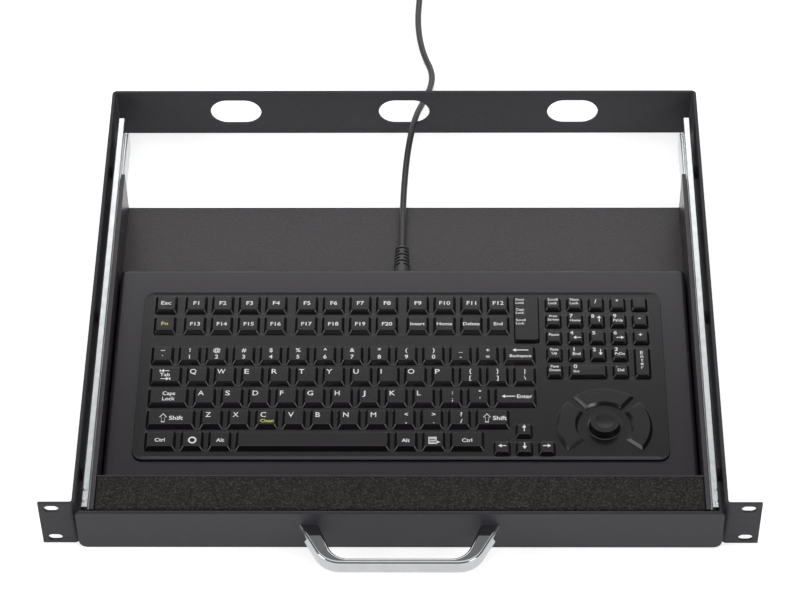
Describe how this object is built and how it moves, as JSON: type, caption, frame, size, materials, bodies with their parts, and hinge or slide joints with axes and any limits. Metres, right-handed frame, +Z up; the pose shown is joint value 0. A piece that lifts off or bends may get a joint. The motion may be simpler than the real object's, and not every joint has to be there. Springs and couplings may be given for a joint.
{
  "type": "rackmount keyboard",
  "caption": "Low rack drawer on telescopic ball slides that carries a compact keyboard with keypad and pointing button, a padded palm rest and a bow handle.",
  "frame": {"origin": "middle of the four rack slots, on the rear face of the rack ears", "axes": "+X to the right of a person at the keyboard, +Y to the back of the rack, +Z up"},
  "size_m": [0.4826, 0.6629, 0.0436],
  "materials": {
    "chassis_paint": "satin charcoal powder coat with a fine grain",
    "panel_paint": "smooth satin charcoal paint",
    "zinc": "bright zinc-plated rolled steel",
    "steel": "plain steel screws",
    "chrome": "polished chrome plating",
    "foam": "open-cell foam, matt",
    "housing": "fine-grained charcoal moulding",
    "mat": "dark matt moulding",
    "keys": "near-black matt keys with printed legends",
    "circuit": "glass-fibre board",
    "lamps": "small clear lamps",
    "cable": "smooth black sheath",
    "tie": "nylon strap",
    "plug": "moulded plug grip"
  },
  "bodies": {
    "frame": {"chassis_frame": "chassis_paint", "slide_outer_left": "zinc", "slide_outer_right": "zinc", "slide_frame_screws": "steel", "cable_run": "cable", "cable_tail": "cable", "cable_coil": "cable", "cable_tie": "tie", "plug_body": "plug", "plug_shell": "steel"},
    "tray": {"tray": "chassis_paint", "front_panel": "panel_paint", "handle": "chrome", "handle_screws": "steel", "panel_screws": "steel", "palm_rest_ledge": "panel_paint", "palm_rest_pad": "foam", "slide_inner_left": "zinc", "slide_inner_right": "zinc", "slide_tray_screws": "steel", "keyboard_cover": "housing", "keyboard_base_plate": "panel_paint", "key_mat": "mat", "circuit_board": "circuit", "circuit_screws": "steel", "case_screws": "steel", "indicator_block": "mat", "indicator_lamps": "lamps", "strain_relief": "cable"},
    "ball_cage_outer_left": {"ball_cage_outer_left": "zinc"},
    "slide_middle_left": {"slide_middle_left": "zinc"},
    "ball_cage_inner_left": {"ball_cage_inner_left": "zinc"},
    "ball_cage_outer_right": {"ball_cage_outer_right": "zinc"},
    "slide_middle_right": {"slide_middle_right": "zinc"},
    "ball_cage_inner_right": {"ball_cage_inner_right": "zinc"},
    "space_bar": {"space_bar": "keys"},
    "enter_key": {"enter_key": "keys"},
    "backspace_key": {"backspace_key": "keys"},
    "left_shift_key": {"left_shift_key": "keys"},
    "right_shift_key": {"right_shift_key": "keys"},
    "tab_key": {"tab_key": "keys"},
    "caps_lock_key": {"caps_lock_key": "keys"},
    "keypad_zero_key": {"keypad_zero_key": "keys"},
    "keypad_enter_key": {"keypad_enter_key": "keys"},
    "pointer_left_button": {"pointer_left_button": "keys"},
    "pointer_middle_button": {"pointer_middle_button": "keys"},
    "pointer_right_button": {"pointer_right_button": "keys"},
    "escape_and_fn_keys": {"escape_and_fn_keys": "keys"},
    "function_keys": {"function_keys": "keys"},
    "upper_function_keys": {"upper_function_keys": "keys"},
    "number_keys": {"number_keys": "keys"},
    "upper_letter_keys": {"upper_letter_keys": "keys"},
    "home_row_keys": {"home_row_keys": "keys"},
    "lower_letter_keys": {"lower_letter_keys": "keys"},
    "modifier_keys": {"modifier_keys": "keys"},
    "keypad_keys": {"keypad_keys": "keys"},
    "arrow_keys": {"arrow_keys": "keys"},
    "pointer_carriage": {"pointer_carriage": "keys"},
    "pointer_button": {"pointer_button": "keys"}
  },
  "joints": [
    {"name": "tray_slide", "type": "slide", "parent": "frame", "child": "tray", "axis": [0, -1, 0], "range_m": [0, 0.34]},
    {"name": "ball_cage_outer_left_run", "type": "slide", "parent": "frame", "child": "ball_cage_outer_left", "axis": [0, -1, 0], "range_m": [0, 0.085]},
    {"name": "slide_middle_left_run", "type": "slide", "parent": "frame", "child": "slide_middle_left", "axis": [0, -1, 0], "range_m": [0, 0.17]},
    {"name": "ball_cage_inner_left_run", "type": "slide", "parent": "frame", "child": "ball_cage_inner_left", "axis": [0, -1, 0], "range_m": [0, 0.255]},
    {"name": "ball_cage_outer_right_run", "type": "slide", "parent": "frame", "child": "ball_cage_outer_right", "axis": [0, -1, 0], "range_m": [0, 0.085]},
    {"name": "slide_middle_right_run", "type": "slide", "parent": "frame", "child": "slide_middle_right", "axis": [0, -1, 0], "range_m": [0, 0.17]},
    {"name": "ball_cage_inner_right_run", "type": "slide", "parent": "frame", "child": "ball_cage_inner_right", "axis": [0, -1, 0], "range_m": [0, 0.255]},
    {"name": "space_bar_press", "type": "slide", "parent": "tray", "child": "space_bar", "axis": [0, 0, -1], "range_m": [0, 0.0012], "stiffness_N_per_m": 500, "springref_m": -0.001},
    {"name": "enter_key_press", "type": "slide", "parent": "tray", "child": "enter_key", "axis": [0, 0, -1], "range_m": [0, 0.0012], "stiffness_N_per_m": 500, "springref_m": -0.001},
    {"name": "backspace_key_press", "type": "slide", "parent": "tray", "child": "backspace_key", "axis": [0, 0, -1], "range_m": [0, 0.0012], "stiffness_N_per_m": 500, "springref_m": -0.001},
    {"name": "left_shift_key_press", "type": "slide", "parent": "tray", "child": "left_shift_key", "axis": [0, 0, -1], "range_m": [0, 0.0012], "stiffness_N_per_m": 500, "springref_m": -0.001},
    {"name": "right_shift_key_press", "type": "slide", "parent": "tray", "child": "right_shift_key", "axis": [0, 0, -1], "range_m": [0, 0.0012], "stiffness_N_per_m": 500, "springref_m": -0.001},
    {"name": "tab_key_press", "type": "slide", "parent": "tray", "child": "tab_key", "axis": [0, 0, -1], "range_m": [0, 0.0012], "stiffness_N_per_m": 500, "springref_m": -0.001},
    {"name": "caps_lock_key_press", "type": "slide", "parent": "tray", "child": "caps_lock_key", "axis": [0, 0, -1], "range_m": [0, 0.0012], "stiffness_N_per_m": 500, "springref_m": -0.001},
    {"name": "keypad_zero_key_press", "type": "slide", "parent": "tray", "child": "keypad_zero_key", "axis": [0, 0, -1], "range_m": [0, 0.0012], "stiffness_N_per_m": 500, "springref_m": -0.001},
    {"name": "keypad_enter_key_press", "type": "slide", "parent": "tray", "child": "keypad_enter_key", "axis": [0, 0, -1], "range_m": [0, 0.0012], "stiffness_N_per_m": 500, "springref_m": -0.001},
    {"name": "pointer_left_button_press", "type": "slide", "parent": "tray", "child": "pointer_left_button", "axis": [0, 0, -1], "range_m": [0, 0.0012], "stiffness_N_per_m": 500, "springref_m": -0.001},
    {"name": "pointer_middle_button_press", "type": "slide", "parent": "tray", "child": "pointer_middle_button", "axis": [0, 0, -1], "range_m": [0, 0.0012], "stiffness_N_per_m": 500, "springref_m": -0.001},
    {"name": "pointer_right_button_press", "type": "slide", "parent": "tray", "child": "pointer_right_button", "axis": [0, 0, -1], "range_m": [0, 0.0012], "stiffness_N_per_m": 500, "springref_m": -0.001},
    {"name": "escape_and_fn_keys_press", "type": "slide", "parent": "tray", "child": "escape_and_fn_keys", "axis": [0, 0, -1], "range_m": [0, 0.0012], "stiffness_N_per_m": 2500, "springref_m": -0.001},
    {"name": "function_keys_press", "type": "slide", "parent": "tray", "child": "function_keys", "axis": [0, 0, -1], "range_m": [0, 0.0012], "stiffness_N_per_m": 2500, "springref_m": -0.001},
    {"name": "upper_function_keys_press", "type": "slide", "parent": "tray", "child": "upper_function_keys", "axis": [0, 0, -1], "range_m": [0, 0.0012], "stiffness_N_per_m": 2500, "springref_m": -0.001},
    {"name": "number_keys_press", "type": "slide", "parent": "tray", "child": "number_keys", "axis": [0, 0, -1], "range_m": [0, 0.0012], "stiffness_N_per_m": 2500, "springref_m": -0.001},
    {"name": "upper_letter_keys_press", "type": "slide", "parent": "tray", "child": "upper_letter_keys", "axis": [0, 0, -1], "range_m": [0, 0.0012], "stiffness_N_per_m": 2500, "springref_m": -0.001},
    {"name": "home_row_keys_press", "type": "slide", "parent": "tray", "child": "home_row_keys", "axis": [0, 0, -1], "range_m": [0, 0.0012], "stiffness_N_per_m": 2500, "springref_m": -0.001},
    {"name": "lower_letter_keys_press", "type": "slide", "parent": "tray", "child": "lower_letter_keys", "axis": [0, 0, -1], "range_m": [0, 0.0012], "stiffness_N_per_m": 2500, "springref_m": -0.001},
    {"name": "modifier_keys_press", "type": "slide", "parent": "tray", "child": "modifier_keys", "axis": [0, 0, -1], "range_m": [0, 0.0012], "stiffness_N_per_m": 2500, "springref_m": -0.001},
    {"name": "keypad_keys_press", "type": "slide", "parent": "tray", "child": "keypad_keys", "axis": [0, 0, -1], "range_m": [0, 0.0012], "stiffness_N_per_m": 2500, "springref_m": -0.001},
    {"name": "arrow_keys_press", "type": "slide", "parent": "tray", "child": "arrow_keys", "axis": [0, 0, -1], "range_m": [0, 0.0012], "stiffness_N_per_m": 2500, "springref_m": -0.001},
    {"name": "pointer_y", "type": "slide", "parent": "tray", "child": "pointer_carriage", "axis": [0, 1, 0], "range_m": [-0.001, 0.001], "stiffness_N_per_m": 400},
    {"name": "pointer_x", "type": "slide", "parent": "pointer_carriage", "child": "pointer_button", "axis": [1, 0, 0], "range_m": [-0.001, 0.001], "stiffness_N_per_m": 400}
  ],
  "couplings": [
    {"joint": "ball_cage_outer_left_run", "follows": "tray_slide", "ratio": 0.25},
    {"joint": "slide_middle_left_run", "follows": "tray_slide", "ratio": 0.5},
    {"joint": "ball_cage_inner_left_run", "follows": "tray_slide", "ratio": 0.75},
    {"joint": "ball_cage_outer_right_run", "follows": "tray_slide", "ratio": 0.25},
    {"joint": "slide_middle_right_run", "follows": "tray_slide", "ratio": 0.5},
    {"joint": "ball_cage_inner_right_run", "follows": "tray_slide", "ratio": 0.75}
  ]
}
